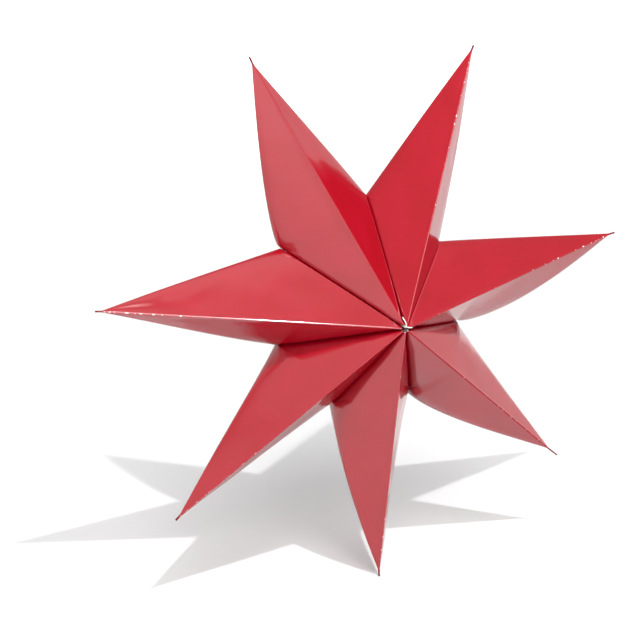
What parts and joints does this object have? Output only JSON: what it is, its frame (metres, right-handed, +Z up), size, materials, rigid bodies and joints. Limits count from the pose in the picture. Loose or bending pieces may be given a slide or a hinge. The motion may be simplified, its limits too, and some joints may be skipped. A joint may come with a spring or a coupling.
{
  "type": "folding paper star decoration",
  "caption": "Glossy red card star with hollow pointed pouches that opens like a fan about its middle and hangs by a hole in its top valley.",
  "frame": {"origin": "middle of the hanging hole, punched through the two end walls near the bottom of the top valley", "axes": "+Z up, with one point hanging straight down; -Y out of the star's front; +X to the right seen from the front; +Y is the axis that the star opens about"},
  "size_m": [0.6019, 0.186, 0.5776],
  "materials": {
    "red_card": "smooth gloss-coated card, red outside, coat cracked to white along the sharp ridge folds",
    "dried_glue": "thin dried glue film, semi-matt",
    "white_tape": "white double-sided tape",
    "white_thread": "twisted white cotton thread, matt"
  },
  "bodies": {
    "top_wall": {"point_1_left_panel": "red_card", "closing_tape_front": "white_tape", "closing_tape_back": "white_tape", "front_tie_thread": "white_thread", "back_tie_thread": "white_thread"},
    "wall_1": {"point_1_right_panel": "red_card", "point_2_left_panel": "red_card", "wall_glue_1": "dried_glue"},
    "wall_2": {"point_2_right_panel": "red_card", "point_3_left_panel": "red_card", "wall_glue_2": "dried_glue"},
    "wall_3": {"point_3_right_panel": "red_card", "point_4_left_panel": "red_card", "wall_glue_3": "dried_glue"},
    "wall_4": {"point_4_right_panel": "red_card", "point_5_left_panel": "red_card", "wall_glue_4": "dried_glue"},
    "wall_5": {"point_5_right_panel": "red_card", "point_6_left_panel": "red_card", "wall_glue_5": "dried_glue"},
    "wall_6": {"point_6_right_panel": "red_card", "point_7_left_panel": "red_card", "wall_glue_6": "dried_glue"},
    "end_wall": {"point_7_right_panel": "red_card"}
  },
  "joints": [
    {"name": "point_1_fold", "type": "hinge", "parent": "top_wall", "child": "wall_1", "pos_m": [0, 0, -0.1135], "axis": [0, 1, 0], "range_deg": [-48, 0], "deforming": ["point_1_left_panel", "point_1_right_panel"]},
    {"name": "point_2_fold", "type": "hinge", "parent": "wall_1", "child": "wall_2", "pos_m": [0, 0, -0.1135], "axis": [0, 1, 0], "range_deg": [-48, 0], "deforming": ["point_2_left_panel", "point_2_right_panel"]},
    {"name": "point_3_fold", "type": "hinge", "parent": "wall_2", "child": "wall_3", "pos_m": [0, 0, -0.1135], "axis": [0, 1, 0], "range_deg": [-48, 0], "deforming": ["point_3_left_panel", "point_3_right_panel"]},
    {"name": "point_4_fold", "type": "hinge", "parent": "wall_3", "child": "wall_4", "pos_m": [0, 0, -0.1135], "axis": [0, 1, 0], "range_deg": [-48, 0], "deforming": ["point_4_left_panel", "point_4_right_panel"]},
    {"name": "point_5_fold", "type": "hinge", "parent": "wall_4", "child": "wall_5", "pos_m": [0, 0, -0.1135], "axis": [0, 1, 0], "range_deg": [-48, 0], "deforming": ["point_5_left_panel", "point_5_right_panel"]},
    {"name": "point_6_fold", "type": "hinge", "parent": "wall_5", "child": "wall_6", "pos_m": [0, 0, -0.1135], "axis": [0, 1, 0], "range_deg": [-48, 0], "deforming": ["point_6_left_panel", "point_6_right_panel"]},
    {"name": "point_7_fold", "type": "hinge", "parent": "wall_6", "child": "end_wall", "pos_m": [0, 0, -0.1135], "axis": [0, 1, 0], "range_deg": [-48, 0], "deforming": ["point_7_left_panel", "point_7_right_panel"]}
  ],
  "couplings": [
    {"joint": "point_2_fold", "follows": "point_1_fold", "ratio": 1},
    {"joint": "point_3_fold", "follows": "point_1_fold", "ratio": 1},
    {"joint": "point_4_fold", "follows": "point_1_fold", "ratio": 1},
    {"joint": "point_5_fold", "follows": "point_1_fold", "ratio": 1},
    {"joint": "point_6_fold", "follows": "point_1_fold", "ratio": 1},
    {"joint": "point_7_fold", "follows": "point_1_fold", "ratio": 1}
  ]
}
